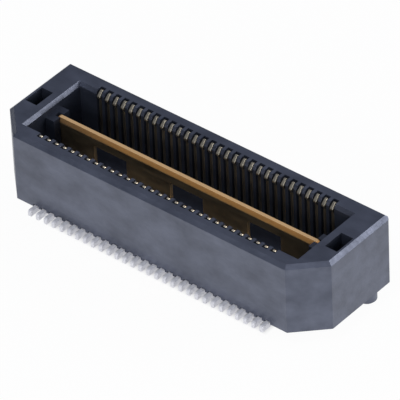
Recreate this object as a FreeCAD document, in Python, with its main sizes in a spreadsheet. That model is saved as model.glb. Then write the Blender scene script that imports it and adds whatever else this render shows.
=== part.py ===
import FreeCAD, Part
import os
import Sketcher

# Board to board connector: a moulded housing with a contact row in each long wall
# and a ground blade down the middle of its cavity.
# X runs along the rows, Y across them, and Z points out of the mating side.
# Z = 0 is the face of the circuit board, on which the solder tails rest.

doc = FreeCAD.newDocument("Connector")
sheet = doc.addObject("Spreadsheet::Sheet", "Sizes")

SIZES = [
    # contact rows
    ("positions", 30),
    ("pitch", 0.5),
    ("contact_thick", 0.22),
    # housing outline
    ("end_gap", 1.33),
    ("end_wall", 1.42),
    ("cavity_width", 4.30),
    ("side_wall", 0.835),
    ("body_height", 4.02),
    ("standoff", 0.25),
    ("corner_cut", 1.55),
    ("rim_bevel", 0.20),
    ("back_bevel", 0.09),
    ("back_corner", 0.12),
    # cavity
    ("floor_thick", 1.05),
    ("lead_in", 0.12),
    ("lead_in_depth", 0.22),
    # contact slots, and the notches through which the tails leave
    ("slot_clear", 0.05),
    ("slot_depth", 0.30),
    ("notch_clear", 0.06),
    ("notch_height", 0.15),
    # pockets in the end rims
    ("pocket_wall", 0.31),
    ("pocket_length", 0.72),
    ("pocket_width", 1.24),
    ("pocket_depth", 2.60),
    # guides for the ends of the blade
    ("guide_length", 0.54),
    ("guide_width", 1.15),
    ("guide_slot", 0.30),
    ("blade_clear", 0.05),
    # ground blade
    ("blade_thick", 0.20),
    ("blade_drop", 0.55),
    ("blade_round", 0.25),
    ("windows", 3),
    ("window_pitch", 4.80),
    ("window_length", 2.04),
    ("window_drop", 0.80),
    ("window_height", 1.20),
    ("leg_length", 1.60),
    ("foot_reach", 0.60),
    ("foot_bend", 0.12),
    # contact beam
    ("base_width", 0.35),
    ("base_above_floor", 0.35),
    ("base_slope", 0.15),
    ("beam_width", 0.17),
    ("bump_drop", 0.29),
    ("bump_flat", 0.08),
    ("bump_reach", 0.13),
    ("bump_slope", 0.18),
    ("tip_drop", 0.03),
    ("tip_width", 0.09),
    ("tip_inset", 0.12),
    # solder tail
    ("tail_reach", 0.50),
    ("tail_height", 0.36),
    ("tail_round", 0.14),
    ("riser_width", 0.24),
    # board pegs
    ("peg_radius", 0.50),
    ("peg_length", 0.98),
    ("peg_from_end", 0.80),
    ("peg_across", 2.15),
    ("peg_chamfer", 0.15),
]

row = 1
for name, value in SIZES:
    sheet.set(f"A{row}", name)
    sheet.set(f"B{row}", str(value))
    sheet.setAlias(f"B{row}", name)
    row += 1
doc.recompute()


class Size:
    """A length together with the formula that gives it from the sheet."""

    def __init__(self, value, formula):
        self.value = value
        self.formula = formula

    def join(self, sign, other, value):
        return Size(value, f"({self.formula} {sign} {as_size(other).formula})")

    def __add__(self, other):
        return self.join("+", other, self.value + as_size(other).value)

    def __sub__(self, other):
        return self.join("-", other, self.value - as_size(other).value)

    def __mul__(self, other):
        return self.join("*", other, self.value * as_size(other).value)

    def __truediv__(self, other):
        return self.join("/", other, self.value / as_size(other).value)

    def __neg__(self):
        return Size(-self.value, f"(0 - {self.formula})")


def as_size(number):
    return number if isinstance(number, Size) else Size(float(number), str(number))


def cell(name):
    return Size(float(sheet.get(name)), "Sizes." + name)


# Lengths that follow from the named ones.
pitch = cell("pitch")
positions = cell("positions")
contact_thick = cell("contact_thick")
row_length = pitch * (positions - 1)
cavity_x = row_length / 2 + cell("end_gap")
cavity_y = cell("cavity_width") / 2
half_x = cavity_x + cell("end_wall")
half_y = cavity_y + cell("side_wall")
inner_x = cavity_x - cell("lead_in")
inner_y = cavity_y - cell("lead_in")
bottom = cell("standoff")
top = bottom + cell("body_height")
floor = bottom + cell("floor_thick")
notch_top = bottom + cell("notch_height")
slot_back = cavity_y + cell("slot_depth")
base_face = slot_back - cell("base_width")
blade_top = top - cell("blade_drop")
blade_half = cell("blade_thick") / 2
guide_face = inner_x - cell("guide_length")
guide_end = guide_face + cell("guide_slot")
blade_x = guide_end - cell("blade_clear")


def bind(feature, **sizes):
    """Tie properties of a feature to sizes."""
    for name, value in sizes.items():
        feature.setExpression(name, as_size(value).formula)


def new_body(name):
    body = doc.addObject("PartDesign::Body", name)
    body.Label = name
    return body


def datum(body, role):
    return [item for item in body.Origin.OriginFeatures if item.Role == role][0]


def new_sketch(body, name, role, height=0):
    """A sketch on a plane of the body's own origin, raised along the plane's normal."""
    sketch = body.newObject("Sketcher::SketchObject", name)
    sketch.AttachmentSupport = (datum(body, role), "")
    sketch.MapMode = "FlatFace"
    sketch.setExpression("AttachmentOffset.Base.z", as_size(height).formula)
    return sketch


def place(sketch, index, point, x, y):
    """Dimension one point of a sketch from the sketch's origin."""
    for kind, value in (("DistanceX", as_size(x)), ("DistanceY", as_size(y))):
        constraint = Sketcher.Constraint(kind, -1, 1, index, point, value.value)
        number = sketch.addConstraint(constraint)
        sketch.setExpression(f"Constraints[{number}]", value.formula)


def draw_outline(sketch, corners):
    """A closed outline of straight lines with every corner dimensioned."""
    points = [FreeCAD.Vector(as_size(x).value, as_size(y).value, 0) for x, y in corners]
    first = len(sketch.Geometry)
    count = len(points)
    for index in range(count):
        line = Part.LineSegment(points[index], points[(index + 1) % count])
        sketch.addGeometry(line)
    for index in range(count):
        after = first + (index + 1) % count
        sketch.addConstraint(Sketcher.Constraint("Coincident", first + index, 2, after, 1))
        place(sketch, first + index, 1, *corners[index])


def draw_box(sketch, x_low, x_high, y_low, y_high):
    draw_outline(sketch, [(x_low, y_low), (x_high, y_low), (x_high, y_high), (x_low, y_high)])


def draw_circle(sketch, x, y, radius):
    centre = FreeCAD.Vector(as_size(x).value, as_size(y).value, 0)
    index = sketch.addGeometry(Part.Circle(centre, FreeCAD.Vector(0, 0, 1), radius.value))
    place(sketch, index, 3, x, y)
    number = sketch.addConstraint(Sketcher.Constraint("Radius", index, radius.value))
    sketch.setExpression(f"Constraints[{number}]", radius.formula)


def both_ways(corners):
    """The corners of one half and their mirror images across X = 0."""
    return corners + [(-as_size(x), y) for x, y in reversed(corners)]


def pad(body, name, sketch, length, symmetric=False, reversed=False):
    feature = body.newObject("PartDesign::Pad", name)
    feature.Profile = sketch
    feature.SideType = "Symmetric" if symmetric else "One side"
    feature.Reversed = reversed
    bind(feature, Length=length)
    doc.recompute()
    return feature


def pocket(body, name, sketch, length, reversed=False, symmetric=False):
    """A pocket that must take material away."""
    before = body.Tip.Shape.Volume
    feature = body.newObject("PartDesign::Pocket", name)
    feature.Profile = sketch
    feature.SideType = "Symmetric" if symmetric else "One side"
    feature.Reversed = reversed
    bind(feature, Length=length)
    doc.recompute()
    if feature.Shape.Volume > before - 1e-6:
        raise RuntimeError(f"{name} cuts nothing")
    return feature


def repeat(body, name, features, step, count):
    """Copies of some features in a row along X."""
    feature = body.newObject("PartDesign::LinearPattern", name)
    feature.Originals = features
    feature.Direction = (datum(body, "X_Axis"), [""])
    feature.Mode = "Spacing"
    bind(feature, Offset=step, Occurrences=count)
    body.Tip = feature
    doc.recompute()
    return feature


def edges_where(feature, test):
    """Names of the edges whose middle and direction pass a test."""
    names = []
    for number, edge in enumerate(feature.Shape.Edges, 1):
        if isinstance(edge.Curve, Part.Line) and test(edge.CenterOfMass, edge.tangentAt(0)):
            names.append(f"Edge{number}")
    return names


def dress(body, kind, name, edges, **sizes):
    """A fillet or chamfer on edges of the body's present shape."""
    base = body.Tip
    feature = body.newObject("PartDesign::" + kind, name)
    feature.Base = (base, edges)
    bind(feature, **sizes)
    body.Tip = feature
    doc.recompute()
    return feature


def near(number, size):
    return abs(number - size.value) < 1e-4


# The housing, moulded in one piece. Both corners of its front are cut off at 45 degrees,
# which keys it to its mate, and the edges round its top are bevelled.
housing = new_body("housing")
plan = new_sketch(housing, "plan", "XY_Plane", bottom)
cut = cell("corner_cut")
draw_outline(plan, both_ways([(half_x - cut, -half_y), (half_x, cut - half_y), (half_x, half_y)]))
block = pad(housing, "block", plan, top - bottom)

back_rim = edges_where(
    block, lambda at, way: near(at.z, top) and near(at.y, half_y))
bevelled = dress(housing, "Chamfer", "back_bevel", back_rim, Size=cell("back_bevel"))

front_rim = edges_where(
    bevelled,
    lambda at, way: near(at.z, top) and at.y < half_y.value - 0.2 and abs(way.z) < 0.1)
bevelled = dress(housing, "Chamfer", "rim_bevel", front_rim, Size=cell("rim_bevel"))

back_corners = edges_where(
    bevelled, lambda at, way: abs(way.z) > 0.9 and near(at.y, half_y))
dress(housing, "Fillet", "back_corners", back_corners, Radius=cell("back_corner"))

# The cavity takes the mate. Its mouth flares, and below the top of the blade
# a guide with a slot stands at each end.
upper = new_sketch(housing, "upper_cavity", "XY_Plane", top)
draw_box(upper, -inner_x, inner_x, -inner_y, inner_y)
pocket(housing, "cavity_mouth", upper, top - blade_top)

flare_top = new_sketch(housing, "flare_top", "XY_Plane", top)
draw_box(flare_top, -cavity_x, cavity_x, -cavity_y, cavity_y)
flare_foot = new_sketch(housing, "flare_foot", "XY_Plane", top - cell("lead_in_depth"))
draw_box(flare_foot, -inner_x, inner_x, -inner_y, inner_y)
flare = housing.newObject("PartDesign::SubtractiveLoft", "lead_in_flare")
flare.Profile = flare_top
flare.Sections = [flare_foot]
flare.Ruled = True
doc.recompute()

guide_y = cell("guide_width") / 2
slot_y = blade_half + cell("blade_clear")
lower = new_sketch(housing, "lower_cavity", "XY_Plane", blade_top)
draw_outline(lower, both_ways([
    (inner_x, -inner_y),
    (inner_x, -guide_y),
    (guide_face, -guide_y),
    (guide_face, -slot_y),
    (guide_end, -slot_y),
    (guide_end, slot_y),
    (guide_face, slot_y),
    (guide_face, guide_y),
    (inner_x, guide_y),
    (inner_x, inner_y),
]))
pocket(housing, "cavity", lower, blade_top - floor)

# A blind pocket in each end rim keeps the moulding's walls even.
pocket_out = half_x - cell("pocket_wall")
pocket_in = pocket_out - cell("pocket_length")
pocket_y = cell("pocket_width") / 2
rim_pockets = new_sketch(housing, "rim_pocket_plan", "XY_Plane", top)
draw_box(rim_pockets, pocket_in, pocket_out, -pocket_y, pocket_y)
draw_box(rim_pockets, -pocket_out, -pocket_in, -pocket_y, pocket_y)
pocket(housing, "rim_pockets", rim_pockets, cell("pocket_depth"))

# Holes in the floor grip the legs of the ground blade.
leg_y = blade_half
leg_half = cell("leg_length") / 2
leg_pitch = cell("window_pitch")
first_leg = -(leg_pitch * cell("windows") / 2)
leg_plan = new_sketch(housing, "leg_hole_plan", "XY_Plane", floor)
draw_box(leg_plan, first_leg - leg_half, first_leg + leg_half, -leg_y, leg_y)
leg_hole = pocket(housing, "leg_hole", leg_plan, floor - bottom)
repeat(housing, "leg_holes", [leg_hole], leg_pitch, cell("windows") + 1)

# Each contact has a slot in the wall, a tight hole in the floor and a notch
# under the wall. All three are cut at both sides of the first position, then repeated.
first_x = -(row_length / 2)
half_thick = contact_thick / 2
half_slot = half_thick + cell("slot_clear")
half_notch = half_thick + cell("notch_clear")


def draw_both_rows(sketch, half_width, y_near, y_far):
    draw_box(sketch, first_x - half_width, first_x + half_width, y_near, y_far)
    draw_box(sketch, first_x - half_width, first_x + half_width, -y_far, -y_near)


slot_plan = new_sketch(housing, "slot_plan", "XY_Plane", top)
draw_both_rows(slot_plan, half_slot, inner_y - cell("slot_clear"), slot_back)
slot = pocket(housing, "slot", slot_plan, top - floor)
grip_plan = new_sketch(housing, "grip_plan", "XY_Plane", floor)
draw_both_rows(grip_plan, half_thick, base_face, slot_back)
grip = pocket(housing, "grip_hole", grip_plan, floor - bottom)
notch_plan = new_sketch(housing, "notch_plan", "XY_Plane", bottom)
draw_both_rows(notch_plan, half_notch, base_face, half_y + cell("tail_reach"))
notch = pocket(housing, "notch", notch_plan, notch_top - bottom, reversed=True)
repeat(housing, "contact_places", [slot, grip, notch], pitch, positions)

# Two pegs below the back corners locate the housing in holes of the board.
peg_x = half_x - cell("peg_from_end")
peg_plan = new_sketch(housing, "peg_plan", "XY_Plane", bottom)
draw_circle(peg_plan, peg_x, cell("peg_across"), cell("peg_radius"))
draw_circle(peg_plan, -peg_x, cell("peg_across"), cell("peg_radius"))
pegs = pad(housing, "pegs", peg_plan, cell("peg_length"), reversed=True)
peg_foot = bottom - cell("peg_length")
peg_edges = [
    f"Edge{number}" for number, edge in enumerate(pegs.Shape.Edges, 1)
    if isinstance(edge.Curve, Part.Circle) and near(edge.CenterOfMass.z, peg_foot)
]
dress(housing, "Chamfer", "peg_chamfer", peg_edges, Size=cell("peg_chamfer"))

# The ground blade, stamped from sheet. It stands on the floor with its ends in the
# guides, and its legs pass through the floor to feet that are bent along the board.
blade = new_body("ground_plane")
side = new_sketch(blade, "side", "XZ_Plane")
draw_box(side, -blade_x, blade_x, floor, blade_top)
sheet_metal = pad(blade, "sheet_metal", side, cell("blade_thick"), symmetric=True)
top_corners = edges_where(
    sheet_metal, lambda at, way: abs(way.y) > 0.9 and near(at.z, blade_top))
dress(blade, "Fillet", "top_corners", top_corners, Radius=cell("blade_round"))

window_z = blade_top - cell("window_drop")
first_window = -(leg_pitch * (cell("windows") - 1) / 2)
window_half = cell("window_length") / 2
window_side = new_sketch(blade, "window_side", "XZ_Plane")
draw_box(
    window_side,
    first_window - window_half,
    first_window + window_half,
    window_z - cell("window_height"),
    window_z)
window = pocket(blade, "window", window_side, cell("blade_thick") * 2, symmetric=True)
repeat(blade, "window_row", [window], leg_pitch, cell("windows"))

# One leg and its foot, drawn as the bent section and as wide as the hole in the floor.
foot_top = cell("blade_thick")
bend = cell("foot_bend")
foot_section = new_sketch(blade, "foot_section", "YZ_Plane", first_leg)
draw_outline(foot_section, [
    (leg_y, floor),
    (-leg_y, floor),
    (-leg_y, bend),
    (bend - leg_y, 0),
    (cell("foot_reach"), 0),
    (cell("foot_reach"), foot_top),
    (leg_y, foot_top),
])
leg = pad(blade, "leg", foot_section, cell("leg_length"), symmetric=True)
repeat(blade, "legs", [leg], leg_pitch, cell("windows") + 1)

# One contact, blanked from sheet so that its profile is cut and not bent: the tail
# on the board, the base in the floor and the back of its slot, and the sprung beam.
contact = new_body("contact")
beam_back = base_face + cell("beam_width")
bump_y = base_face - cell("bump_reach")
bump_z = top - cell("bump_drop")
tip_z = top - cell("tip_drop")
tip_y = slot_back - cell("tip_inset")
lower_bump = bump_z - cell("bump_flat")
base_top = floor + cell("base_above_floor")
tail_end = half_y + cell("tail_reach")
riser_y = slot_back - cell("riser_width")
profile = new_sketch(contact, "profile", "YZ_Plane")
draw_outline(profile, [
    (riser_y, 0),
    (tail_end, 0),
    (tail_end, cell("tail_height")),
    (slot_back, cell("tail_height")),
    (slot_back, base_top - cell("base_slope")),
    (beam_back, base_top),
    (beam_back, lower_bump - cell("bump_slope")),
    (bump_y + cell("beam_width"), lower_bump),
    (bump_y + cell("beam_width"), bump_z),
    (tip_y, tip_z - cell("tip_width")),
    (tip_y, tip_z),
    (tip_y - cell("tip_width"), tip_z),
    (bump_y, bump_z),
    (bump_y, lower_bump),
    (base_face, lower_bump - cell("bump_slope")),
    (base_face, notch_top),
    (riser_y, notch_top - cell("base_slope")),
])
blank = pad(contact, "blank", profile, contact_thick, symmetric=True)
tail_corner = edges_where(
    blank,
    lambda at, way: near(at.y, tail_end) and near(at.z, cell("tail_height")) and abs(way.x) > 0.9)
dress(contact, "Fillet", "tail_round", tail_corner, Radius=cell("tail_round"))

facing = doc.addObject("Part::Mirroring", "facing_contact")
facing.Source = contact
facing.Normal = FreeCAD.Vector(0, 1, 0)

# The same two contacts at every position of the rows.
nodes = [housing, blade]
for index in range(round(positions.value)):
    pair = doc.addObject("Part::Compound", f"contact_pair_{index + 1:02d}")
    pair.Label = f"contact_pair_{index + 1:02d}"
    pair.Links = [contact, facing]
    pair.setExpression("Placement.Base.x", (first_x + pitch * index).formula)
    nodes.append(pair)
doc.recompute()

for item in doc.Objects:
    if "Invalid" in item.State or "Error" in item.State:
        raise RuntimeError(f"{item.Name} failed: {item.State}")
for node in nodes:
    if node.Shape.isNull() or not node.Shape.isValid():
        raise RuntimeError(f"{node.Label} has no valid shape")

os.makedirs("parts", exist_ok=True)
for node in nodes:
    node.Shape.exportStep(f"parts/{node.Label}.step")
    box = node.Shape.BoundBox
    print(node.Label, len(node.Shape.Solids), round(node.Shape.Volume, 4),
          [round(value, 3) for value in (box.XMin, box.XMax, box.YMin, box.YMax, box.ZMin, box.ZMax)])
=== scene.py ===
import math

import bmesh
import bpy
from mathutils import Matrix, Vector


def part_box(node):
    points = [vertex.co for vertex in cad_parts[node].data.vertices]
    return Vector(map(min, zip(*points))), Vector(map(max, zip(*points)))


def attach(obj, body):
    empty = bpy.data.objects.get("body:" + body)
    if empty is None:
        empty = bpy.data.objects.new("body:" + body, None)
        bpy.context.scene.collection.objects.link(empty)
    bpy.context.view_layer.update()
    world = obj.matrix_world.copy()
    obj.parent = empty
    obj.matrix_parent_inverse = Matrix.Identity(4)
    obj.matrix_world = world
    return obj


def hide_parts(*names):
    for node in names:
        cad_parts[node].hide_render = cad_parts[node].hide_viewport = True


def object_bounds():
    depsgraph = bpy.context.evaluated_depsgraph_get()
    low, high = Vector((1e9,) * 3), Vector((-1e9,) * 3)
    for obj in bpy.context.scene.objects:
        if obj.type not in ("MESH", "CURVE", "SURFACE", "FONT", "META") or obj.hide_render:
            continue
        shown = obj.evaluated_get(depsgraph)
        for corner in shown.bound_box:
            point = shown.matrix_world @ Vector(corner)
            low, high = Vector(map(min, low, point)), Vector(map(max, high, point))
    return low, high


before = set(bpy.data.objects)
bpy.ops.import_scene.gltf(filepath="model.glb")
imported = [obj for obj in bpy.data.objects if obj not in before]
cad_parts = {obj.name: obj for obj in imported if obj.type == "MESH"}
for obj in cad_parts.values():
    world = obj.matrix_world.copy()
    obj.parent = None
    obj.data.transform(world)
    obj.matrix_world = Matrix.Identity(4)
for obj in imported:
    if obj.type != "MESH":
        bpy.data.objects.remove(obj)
cad_low, cad_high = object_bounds()

# The housing is one injection moulding in a dark blue-grey liquid crystal polymer.
# Its walls, slots and guides come out of the tool with slightly eased edges. The resin
# is mottled where it flowed and finely grained. Its reflection is turned down in the
# cavity and pockets as painted shade.
MM = 0.001
EASED_EDGE = 0.025 * MM
EASED_FROM = math.radians(30)
FLAT_WITHIN = math.radians(0.5)
SAME_POINT = 0.0005 * MM

RESIN = (0.013, 0.016, 0.025, 1)
RESIN_PALE = (0.019, 0.023, 0.034, 1)
RESIN_IOR = 2.27
RESIN_SHINE = (0.71, 0.77, 1.0, 1)
FLOW_PER_MM = 1.1
FLOW_STRETCH = (1.6, 1, 1)
FLOW_GLOSS = (0.38, 0.60)
GRAIN_PER_MM = 7
GRAIN_STRETCH = (2, 1, 1)
GRAIN_ROUGHNESS = (0.34, 0.46)
GRAIN_DEPTH = 0.0040 * MM
RESIN_DETAIL = 6

# The painted shade of the cavity and the pockets, a weaker reflection, has ended at the
# first of each pair of half lengths, half widths and heights, and is full at the second.
HOLLOW_SHADE_GLOSS = 0.35
CAVITY_SHADE = ((9.05 * MM, 8.95 * MM), (2.40 * MM, 2.30 * MM), (4.02 * MM, 3.80 * MM))
POCKET_SHADE = ((9.80 * MM, 9.75 * MM), (0.90 * MM, 0.80 * MM), (4.24 * MM, 4.05 * MM))

# A noise keeps mostly between these two numbers.
NOISE_LOW = 0.3
NOISE_HIGH = 0.7


def placed(name, data):
    """A mesh, a lamp or a camera as an object of the scene."""
    thing = bpy.data.objects.new(name, data)
    bpy.context.collection.objects.link(thing)
    return thing


def eased_copy(node, name, width):
    """A node's form as one closed mesh whose edges are slightly rounded."""
    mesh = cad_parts[node].data.copy()
    mesh.name = name
    form = bmesh.new()
    form.from_mesh(mesh)
    bmesh.ops.remove_doubles(form, verts=form.verts, dist=SAME_POINT)
    bmesh.ops.dissolve_limit(form, angle_limit=FLAT_WITHIN, verts=form.verts, edges=form.edges)
    for face in form.faces:
        face.smooth = False
    form.to_mesh(mesh)
    form.free()
    mesh.materials.clear()
    piece = placed(name, mesh)
    edge = piece.modifiers.new("eased edges", "BEVEL")
    edge.width = width
    edge.segments = 2
    edge.limit_method = "ANGLE"
    edge.angle_limit = EASED_FROM
    return piece


def new_finish(name):
    """A material with its node tree, its shader and the coordinates of its object."""
    finish = bpy.data.materials.new(name)
    finish.use_nodes = True
    tree = finish.node_tree
    place = tree.nodes.new("ShaderNodeTexCoord")
    return finish, tree, tree.nodes["Principled BSDF"], place.outputs["Object"]


def feed(tree, value, socket):
    """Link another node's output to a socket, or set a plain number or colour on it."""
    if isinstance(value, bpy.types.NodeSocket):
        tree.links.new(value, socket)
    else:
        socket.default_value = value


def axes_of(tree, where):
    """The X, Y and Z of a place, each as an output of its own."""
    node = tree.nodes.new("ShaderNodeSeparateXYZ")
    tree.links.new(where, node.inputs["Vector"])
    return node.outputs


def noise(tree, where, grains_per_mm, stretch, detail):
    """A noise whose grain has a size in the part's own millimetres."""
    mapping = tree.nodes.new("ShaderNodeMapping")
    mapping.inputs["Scale"].default_value = [grains_per_mm / MM / times for times in stretch]
    tree.links.new(where, mapping.inputs["Vector"])
    texture = tree.nodes.new("ShaderNodeTexNoise")
    texture.inputs["Scale"].default_value = 1.0
    texture.inputs["Detail"].default_value = detail
    tree.links.new(mapping.outputs["Vector"], texture.inputs["Vector"])
    return texture.outputs["Fac"]


def ramp(tree, value, start, end, low=0.0, high=1.0):
    """A number that runs from low to high while the value runs from start to end."""
    node = tree.nodes.new("ShaderNodeMapRange")
    node.inputs["From Min"].default_value = start
    node.inputs["From Max"].default_value = end
    node.inputs["To Min"].default_value = low
    node.inputs["To Max"].default_value = high
    tree.links.new(value, node.inputs["Value"])
    return node.outputs["Result"]


def between(tree, texture, low, high):
    """A number that runs from low to high with a noise."""
    return ramp(tree, texture, NOISE_LOW, NOISE_HIGH, low, high)


def worked_out(tree, operation, *numbers):
    """What one piece of arithmetic makes of one or two numbers."""
    node = tree.nodes.new("ShaderNodeMath")
    node.operation = operation
    for number, socket in zip(numbers, node.inputs):
        feed(tree, number, socket)
    return node.outputs["Value"]


def from_middle(tree, place, start, end):
    """A number that runs from 0 to 1 between two distances from the part's middle."""
    return ramp(tree, worked_out(tree, "ABSOLUTE", place), start, end)


def within(tree, axes, limits):
    """1 inside a box round the part's middle and 0 outside it, with a short fade."""
    shares = [from_middle(tree, axes[axis], *pair) for axis, pair in zip("XYZ", limits)]
    plan = worked_out(tree, "MULTIPLY", shares[0], shares[1])
    return worked_out(tree, "MULTIPLY", plan, shares[2])


def two_colours(tree, share, first, second):
    """The first colour where the share is 0, turning into the second where it is 1."""
    node = tree.nodes.new("ShaderNodeMix")
    node.data_type = "RGBA"
    feed(tree, first, node.inputs["A"])
    feed(tree, second, node.inputs["B"])
    tree.links.new(share, node.inputs["Factor"])
    return node.outputs["Result"]


def bump(tree, shader, height, depth):
    """Small relief on a finish, of this depth where the height runs from 0 to 1."""
    node = tree.nodes.new("ShaderNodeBump")
    node.inputs["Strength"].default_value = 1.0
    node.inputs["Distance"].default_value = depth
    tree.links.new(height, node.inputs["Height"])
    tree.links.new(node.outputs["Normal"], shader.inputs["Normal"])


resin, tree, shader, where = new_finish("moulded_resin")
shader.inputs["IOR"].default_value = RESIN_IOR
shader.inputs["Specular Tint"].default_value = RESIN_SHINE
flow = noise(tree, where, FLOW_PER_MM, FLOW_STRETCH, RESIN_DETAIL)
mottling = two_colours(tree, between(tree, flow, 0.0, 1.0), RESIN, RESIN_PALE)
tree.links.new(mottling, shader.inputs["Base Color"])

axes = axes_of(tree, where)
# Painted shade: the resin's reflection is turned down inside the cavity and the pockets.
in_cavity = within(tree, axes, CAVITY_SHADE)
in_pocket = within(tree, axes, POCKET_SHADE)
hollow_shade = worked_out(tree, "MAXIMUM", in_cavity, in_pocket)
gloss_in_shade = ramp(tree, hollow_shade, 0.0, 1.0, 1.0, HOLLOW_SHADE_GLOSS)
gloss = worked_out(tree, "MULTIPLY", between(tree, flow, *FLOW_GLOSS), gloss_in_shade)
tree.links.new(gloss, shader.inputs["Specular IOR Level"])

grain = noise(tree, where, GRAIN_PER_MM, GRAIN_STRETCH, RESIN_DETAIL)
tree.links.new(between(tree, grain, *GRAIN_ROUGHNESS), shader.inputs["Roughness"])
bump(tree, shader, grain, GRAIN_DEPTH)

moulding = eased_copy("housing", "housing_moulding", EASED_EDGE)
moulding.data.materials.append(resin)
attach(moulding, "root")
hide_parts("housing")

# Each contact is blanked from copper alloy strip, so its profile is a cut edge and its
# two flat sides are the strip's faces. The tail is dipped in matt tin and the beam has a
# thin gold over nickel. The front row's tips carry a painted highlight of pale, smoother gold.
PAIRS = sorted(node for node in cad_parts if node.startswith("contact_pair_"))
PITCH = 0.5 * MM
STRIP = 0.22 * MM
BLANKED_EDGE = 0.05 * MM
TAPER_FROM = 4.10 * MM
TIP_TAPER = 0.22

# The profile goes once round the back row's contact seen from the end, in millimetres
# across from the part's middle and up from the board.
TAIL = [
    (2.21, 0.00), (3.435, 0.00), (3.475, 0.03), (3.485, 0.10), (3.485, 0.22),
    (3.462, 0.292), (3.416, 0.338), (3.345, 0.36),
]
BASE_BACK = [(2.45, 0.36), (2.45, 1.50), (2.27, 1.65)]
BEAM_BACK = [(2.27, 3.70), (2.23, 3.78), (2.17, 3.86), (2.14, 3.93), (2.17, 4.00), (2.26, 4.09)]
TIP = [(2.33, 4.17), (2.33, 4.21), (2.30, 4.24), (2.25, 4.24), (2.20, 4.21)]
BUMP = [
    (2.10, 4.11), (2.01, 4.02), (1.98, 3.98), (1.97, 3.93), (1.99, 3.87), (2.04, 3.79),
    (2.10, 3.70),
]
BASE_FRONT = [(2.10, 0.40), (2.21, 0.25)]
CONTACT_PROFILE = TAIL + BASE_BACK + BEAM_BACK + TIP + BUMP + BASE_FRONT

TIN = (0.80, 0.80, 0.84, 1)
TIN_METALLIC = 0.25
TIN_TOP = 0.55 * MM
GOLD = (0.32, 0.29, 0.23, 1)
GOLD_FROM = 0.85 * MM

# The painted highlight of pale gold sets in between two heights of the front row's tips,
# with this share of the strip's roughness. No contact stands nearer to the part's middle
# than HALF_GAP.
TIP_HIGHLIGHT_GOLD = (1.0, 0.88, 0.66, 1)
TIP_HIGHLIGHT_FROM = 4.05 * MM
TIP_HIGHLIGHT_FULL = 4.18 * MM
TIP_HIGHLIGHT_ROUGHNESS = 0.55
HALF_GAP = 1.0 * MM

ROLLED_PER_MM = 9
ROLLED_STRETCH = (1, 1, 4)
ROLLED_ROUGHNESS = (0.34, 0.48)
ROLLED_DEPTH = 0.0008 * MM
METAL_DETAIL = 3


def blanked_contact():
    """One contact at the middle of the rows, with the burr rounded off its edges."""
    form = bmesh.new()
    flat = [form.verts.new((-STRIP / 2, y * MM, z * MM)) for y, z in CONTACT_PROFILE]
    pushed = bmesh.ops.extrude_face_region(form, geom=[form.faces.new(flat)])
    for item in pushed["geom"]:
        if isinstance(item, bmesh.types.BMVert):
            item.co.x += STRIP
    bmesh.ops.recalc_face_normals(form, faces=form.faces)
    rims = [edge for edge in form.edges if edge.verts[0].co.x * edge.verts[1].co.x > 0]
    bmesh.ops.bevel(
        form, geom=rims, offset=BLANKED_EDGE, segments=3, profile=0.5, affect="EDGES")
    tip_top = max(z for y, z in CONTACT_PROFILE) * MM
    for vert in form.verts:
        near_tip = max(0.0, (vert.co.z - TAPER_FROM) / (tip_top - TAPER_FROM))
        vert.co.x *= 1 - TIP_TAPER * near_tip
    mesh = bpy.data.meshes.new("contact_blank")
    form.to_mesh(mesh)
    form.free()
    return placed("contact_rows", mesh)


def rows_tree(finish):
    """Copies of a contact along both walls, those of the second wall turned to face it."""
    tree = bpy.data.node_groups.new("contact_rows", "GeometryNodeTree")
    for name, kind in (
            ("Contact", "Geometry"), ("Positions", "Int"), ("Pitch", "Float"),
            ("First", "Float")):
        tree.interface.new_socket(name, in_out="INPUT", socket_type=f"NodeSocket{kind}")
    tree.interface.new_socket("Rows", in_out="OUTPUT", socket_type="NodeSocketGeometry")
    given = tree.nodes.new("NodeGroupInput")
    made = tree.nodes.new("NodeGroupOutput")
    start = tree.nodes.new("ShaderNodeCombineXYZ")
    step = tree.nodes.new("ShaderNodeCombineXYZ")
    line = tree.nodes.new("GeometryNodeMeshLine")
    line.mode = "OFFSET"
    join = tree.nodes.new("GeometryNodeJoinGeometry")
    tree.links.new(given.outputs["First"], start.inputs["X"])
    tree.links.new(given.outputs["Pitch"], step.inputs["X"])
    tree.links.new(given.outputs["Positions"], line.inputs["Count"])
    tree.links.new(start.outputs["Vector"], line.inputs["Start Location"])
    tree.links.new(step.outputs["Vector"], line.inputs["Offset"])
    for turn in (0.0, math.pi):
        copies = tree.nodes.new("GeometryNodeInstanceOnPoints")
        copies.inputs["Rotation"].default_value = (0, 0, turn)
        tree.links.new(line.outputs["Mesh"], copies.inputs["Points"])
        tree.links.new(given.outputs["Contact"], copies.inputs["Instance"])
        tree.links.new(copies.outputs["Instances"], join.inputs["Geometry"])
    real = tree.nodes.new("GeometryNodeRealizeInstances")
    coat = tree.nodes.new("GeometryNodeSetMaterial")
    coat.inputs["Material"].default_value = finish
    tree.links.new(join.outputs["Geometry"], real.inputs["Geometry"])
    tree.links.new(real.outputs["Geometry"], coat.inputs["Geometry"])
    tree.links.new(coat.outputs["Geometry"], made.inputs["Rows"])
    return tree


def settle(piece, tree, **sizes):
    """Run a tree of geometry nodes on a piece and keep the result as its plain mesh."""
    work = piece.modifiers.new(tree.name, "NODES")
    work.node_group = tree
    for item in tree.interface.items_tree:
        if item.in_out == "INPUT" and item.name in sizes:
            work[item.identifier] = sizes[item.name]
    ready = piece.evaluated_get(bpy.context.evaluated_depsgraph_get())
    mesh = bpy.data.meshes.new_from_object(ready)
    piece.modifiers.clear()
    piece.data = mesh


plating, tree, shader, where = new_finish("contact_plating")
axes = axes_of(tree, where)
above_tin = ramp(tree, axes["Z"], TIN_TOP, GOLD_FROM)
metallic = ramp(tree, above_tin, 0.0, 1.0, TIN_METALLIC, 1.0)
tree.links.new(metallic, shader.inputs["Metallic"])

# Painted highlight: the front row's tips turn pale gold between these heights.
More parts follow.
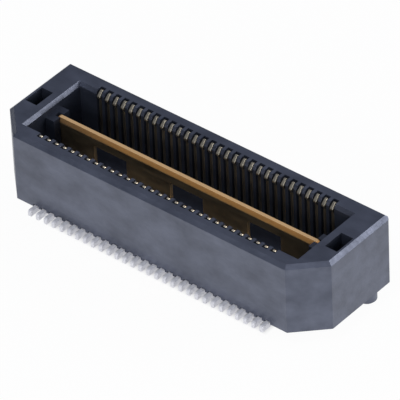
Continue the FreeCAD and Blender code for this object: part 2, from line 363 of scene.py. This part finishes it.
below_tip = ramp(tree, axes["Z"], TIP_HIGHLIGHT_FROM, TIP_HIGHLIGHT_FULL, 1.0, 0.0)
back_row = ramp(tree, axes["Y"], -HALF_GAP, HALF_GAP)
outside_tip_highlight = worked_out(tree, "MAXIMUM", below_tip, back_row)
beam_and_tail = two_colours(tree, above_tin, TIN, GOLD)
skin = two_colours(tree, outside_tip_highlight, TIP_HIGHLIGHT_GOLD, beam_and_tail)
tree.links.new(skin, shader.inputs["Base Color"])

rolled = noise(tree, where, ROLLED_PER_MM, ROLLED_STRETCH, METAL_DETAIL)
smoothed = ramp(tree, outside_tip_highlight, 0.0, 1.0, TIP_HIGHLIGHT_ROUGHNESS, 1.0)
roughness = worked_out(tree, "MULTIPLY", between(tree, rolled, *ROLLED_ROUGHNESS), smoothed)
tree.links.new(roughness, shader.inputs["Roughness"])
bump(tree, shader, rolled, ROLLED_DEPTH)

contacts = blanked_contact()
settle(
    contacts, rows_tree(plating),
    Positions=len(PAIRS), Pitch=PITCH, First=-PITCH * (len(PAIRS) - 1) / 2)
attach(contacts, "root")
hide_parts(*PAIRS)

# The ground blade is stamped from the same strip and plated with gold. Its colour holds
# painted light: a paler crest as a painted highlight, an orange stripe under it as the band
# lit over the front wall, and painted shade below. Its ends sit in the guides, and its
# legs pass through the floor to feet that are soldered down.
BLADE_EDGE = 0.02 * MM

# The crest's painted highlight, a paler gold, sets in between these two depths under the
# blade's top.
BLADE_CREST_HIGHLIGHT = (0.82, 0.53, 0.26, 1)
CREST_FROM = 0.03 * MM
CREST_FULL = 0.01 * MM

# The stripe is the lit band painted in orange gold, and painted shade darkens it towards the
# blade's left end.
BLADE_LIT_GOLD = (0.96, 0.49, 0.16, 1)
BLADE_SHADED_END = (0.36, 0.22, 0.11, 1)
LIT_BAND_FROM = 3.34 * MM
LIT_BAND_FULL = 3.42 * MM
LIT_BAND_METALLIC = 0.5
END_SHADE_FROM = -4.0 * MM
END_SHADE_FULL = -8.5 * MM

# The side below the stripe is painted shade, dull at its ends, with a warmer painted reflection
# low down at its middle.
BLADE_SHADED_GOLD = (0.40, 0.32, 0.21, 1)
BLADE_REFLECTION_GOLD = (0.90, 0.66, 0.38, 1)
REFLECTION_WITHIN = 7.6 * MM
REFLECTION_FULL_WITHIN = 4.6 * MM
REFLECTION_BELOW = 3.3 * MM
REFLECTION_FULL_BELOW = 2.3 * MM

BRUSHED_PER_MM = 5
BRUSHED_STRETCH = (5, 1, 1)
BRUSHED_ROUGHNESS = (0.40, 0.55)
BRUSHED_DEPTH = 0.0015 * MM

gilt, tree, shader, where = new_finish("blade_plating")
axes = axes_of(tree, where)
# Painted light: the lit band under the crest, with painted shade towards the left end.
lit_band = ramp(tree, axes["Z"], LIT_BAND_FROM, LIT_BAND_FULL)
left_end_shade = ramp(tree, axes["X"], END_SHADE_FROM, END_SHADE_FULL)
lit_band_gold = two_colours(tree, left_end_shade, BLADE_LIT_GOLD, BLADE_SHADED_END)

# Painted reflection: warmer gold low down at the middle of the shaded side.
near_middle = from_middle(tree, axes["X"], REFLECTION_WITHIN, REFLECTION_FULL_WITHIN)
low_down = ramp(tree, axes["Z"], REFLECTION_BELOW, REFLECTION_FULL_BELOW)
painted_reflection = worked_out(tree, "MULTIPLY", near_middle, low_down)
lower_shade_and_reflection = two_colours(tree, painted_reflection, BLADE_SHADED_GOLD, BLADE_REFLECTION_GOLD)

crest_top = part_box("ground_plane")[1].z
# Painted highlight: a paler gold along the blade's crest.
crest_highlight = ramp(tree, axes["Z"], crest_top - CREST_FROM, crest_top - CREST_FULL)
flank = two_colours(tree, lit_band, lower_shade_and_reflection, lit_band_gold)
tree.links.new(two_colours(tree, crest_highlight, flank, BLADE_CREST_HIGHLIGHT), shader.inputs["Base Color"])
tree.links.new(ramp(tree, lit_band, 0.0, 1.0, 1.0, LIT_BAND_METALLIC), shader.inputs["Metallic"])

brushed = noise(tree, where, BRUSHED_PER_MM, BRUSHED_STRETCH, METAL_DETAIL)
tree.links.new(between(tree, brushed, *BRUSHED_ROUGHNESS), shader.inputs["Roughness"])
bump(tree, shader, brushed, BRUSHED_DEPTH)

blade = eased_copy("ground_plane", "ground_blade", BLADE_EDGE)
blade.data.materials.append(gilt)
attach(blade, "root")
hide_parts("ground_plane")

# The table is a white sheet that keeps the part's shade under its tails. Its own white
# is what the camera and the metal see round that shade, and the room behind it is
# white to the camera as well.
SHEET_HALF_SIDE = 1.5
SHEET_WHITE = (0.9, 0.9, 0.9, 1)
SHEET_ROUGHNESS = 0.9
SHEET_SHOWN = 0.96
SHADE_HALF_LENGTH = (6.30 * MM, 7.00 * MM)
SHADE_HALF_WIDTH = (2.20 * MM, 2.85 * MM)
WHITE = (1.0, 1.0, 1.0, 1)


def two_shaders(tree, share, first, second):
    """The first shader where the share is 0, turning into the second where it is 1."""
    node = tree.nodes.new("ShaderNodeMixShader")
    tree.links.new(share, node.inputs["Fac"])
    tree.links.new(first, node.inputs[1])
    tree.links.new(second, node.inputs[2])
    return node.outputs["Shader"]


paper, tree, shader, where = new_finish("white_sheet")
shader.inputs["Base Color"].default_value = SHEET_WHITE
shader.inputs["Roughness"].default_value = SHEET_ROUGHNESS
glow = tree.nodes.new("ShaderNodeEmission")
glow.inputs["Color"].default_value = WHITE
glow.inputs["Strength"].default_value = 1.0

axes = axes_of(tree, where)
past_ends = from_middle(tree, axes["X"], *SHADE_HALF_LENGTH)
past_rows = from_middle(tree, axes["Y"], *SHADE_HALF_WIDTH)
unshaded = worked_out(tree, "MAXIMUM", past_ends, past_rows)
from_below = tree.nodes.new("ShaderNodeNewGeometry").outputs["Backfacing"]
rays = tree.nodes.new("ShaderNodeLightPath").outputs
bright = worked_out(tree, "MAXIMUM", unshaded, from_below)
looked_at = worked_out(tree, "MULTIPLY", rays["Is Camera Ray"], bright)
mirrored = worked_out(tree, "MAXIMUM", looked_at, rays["Is Glossy Ray"])
shown = worked_out(tree, "MAXIMUM", mirrored, rays["Is Transmission Ray"])
share = worked_out(tree, "MULTIPLY", shown, SHEET_SHOWN)
surface = two_shaders(tree, share, shader.outputs["BSDF"], glow.outputs["Emission"])
tree.links.new(surface, tree.nodes["Material Output"].inputs["Surface"])

form = bmesh.new()
bmesh.ops.create_grid(form, x_segments=1, y_segments=1, size=SHEET_HALF_SIDE)
for corner in form.verts:
    corner.co.z = cad_low.z
sheet = bpy.data.meshes.new("table")
form.to_mesh(sheet)
form.free()
sheet.materials.append(paper)
table = placed("table", sheet)

# The room is a soft blue-white that brightens towards the ceiling. Four soft boxes
# stand round the table: a wide one past the right end, two low ones before the front
# wall and a small one above, which the plated tips reflect.
ROOM = (0.84, 0.88, 1.0, 1)
HORIZON = 0.10
CEILING = 0.75
HORIZON_LIGHT = 0.08
CEILING_LIGHT = 0.44
LAMP_DISTANCE = 0.35

world = bpy.data.worlds.new("studio")
bpy.context.scene.world = world
world.use_nodes = True
tree = world.node_tree
room = tree.nodes["Background"]
room.inputs["Color"].default_value = ROOM
gaze = tree.nodes.new("ShaderNodeTexCoord")
upwards = axes_of(tree, gaze.outputs["Generated"])["Z"]
light = ramp(tree, upwards, HORIZON, CEILING, HORIZON_LIGHT, CEILING_LIGHT)
tree.links.new(light, room.inputs["Strength"])
backdrop = tree.nodes.new("ShaderNodeBackground")
backdrop.inputs["Color"].default_value = WHITE
rays = tree.nodes.new("ShaderNodeLightPath").outputs
surface = two_shaders(
    tree, rays["Is Camera Ray"], room.outputs["Background"], backdrop.outputs["Background"])
tree.links.new(surface, tree.nodes["World Output"].inputs["Surface"])


def away(azimuth, elevation):
    """The direction from the part to a lamp or the camera, from two angles in degrees."""
    around, up = math.radians(azimuth), math.radians(elevation)
    return Vector((
        math.sin(around) * math.cos(up), -math.cos(around) * math.cos(up), math.sin(up)))


def soft_box(name, azimuth, elevation, side, radiance):
    """A square lamp that faces the part and is equally bright all over."""
    lamp = bpy.data.lights.new(name, "AREA")
    lamp.shape = "SQUARE"
    lamp.size = side
    lamp.energy = radiance * math.pi * side * side
    holder = placed(name, lamp)
    holder.location = away(azimuth, elevation) * LAMP_DISTANCE
    holder.rotation_mode = "QUATERNION"
    holder.rotation_quaternion = away(azimuth, elevation).to_track_quat("Z", "Y")


soft_box("end_box", azimuth=128, elevation=18, side=0.28, radiance=3.15)
soft_box("front_fill", azimuth=8, elevation=4, side=0.15, radiance=2.0)
soft_box("top_box", azimuth=8, elevation=60, side=0.08, radiance=13.0)
soft_box("rim_box", azimuth=25, elevation=22, side=0.10, radiance=10.0)

# The camera stands to the right of the front wall and above it, far back on a long
# lens, with the small turn and offset of the photograph's framing.
AZIMUTH = 41.207
ELEVATION = 38.704
ROLL = math.radians(-2.634)
DISTANCE = 271.9 * MM
AIM = Vector((0, 0, 2.15 * MM))
OFFSET_RIGHT = 0.570 * MM
OFFSET_UP = 0.120 * MM
SENSOR_WIDTH = 36
PHOTO_WIDTH = 400
PIXELS_PER_MM = 20.788

back = away(AZIMUTH, ELEVATION)
right = Vector((math.cos(math.radians(AZIMUTH)), math.sin(math.radians(AZIMUTH)), 0))
above = back.cross(right)
turned_right = right * math.cos(ROLL) + above * math.sin(ROLL)
turned_above = above * math.cos(ROLL) - right * math.sin(ROLL)
stand = AIM + turned_right * OFFSET_RIGHT + turned_above * OFFSET_UP + back * DISTANCE

lens = bpy.data.cameras.new("camera")
lens.sensor_width = SENSOR_WIDTH
lens.lens = SENSOR_WIDTH * PIXELS_PER_MM * DISTANCE / MM / PHOTO_WIDTH
lens.clip_start = 0.01
lens.clip_end = 10
camera = placed("camera", lens)
camera.matrix_world = Matrix.Translation(stand) @ Matrix((
    turned_right, turned_above, back)).transposed().to_4x4()
bpy.context.scene.camera = camera
bpy.context.scene.view_settings.view_transform = "Standard"
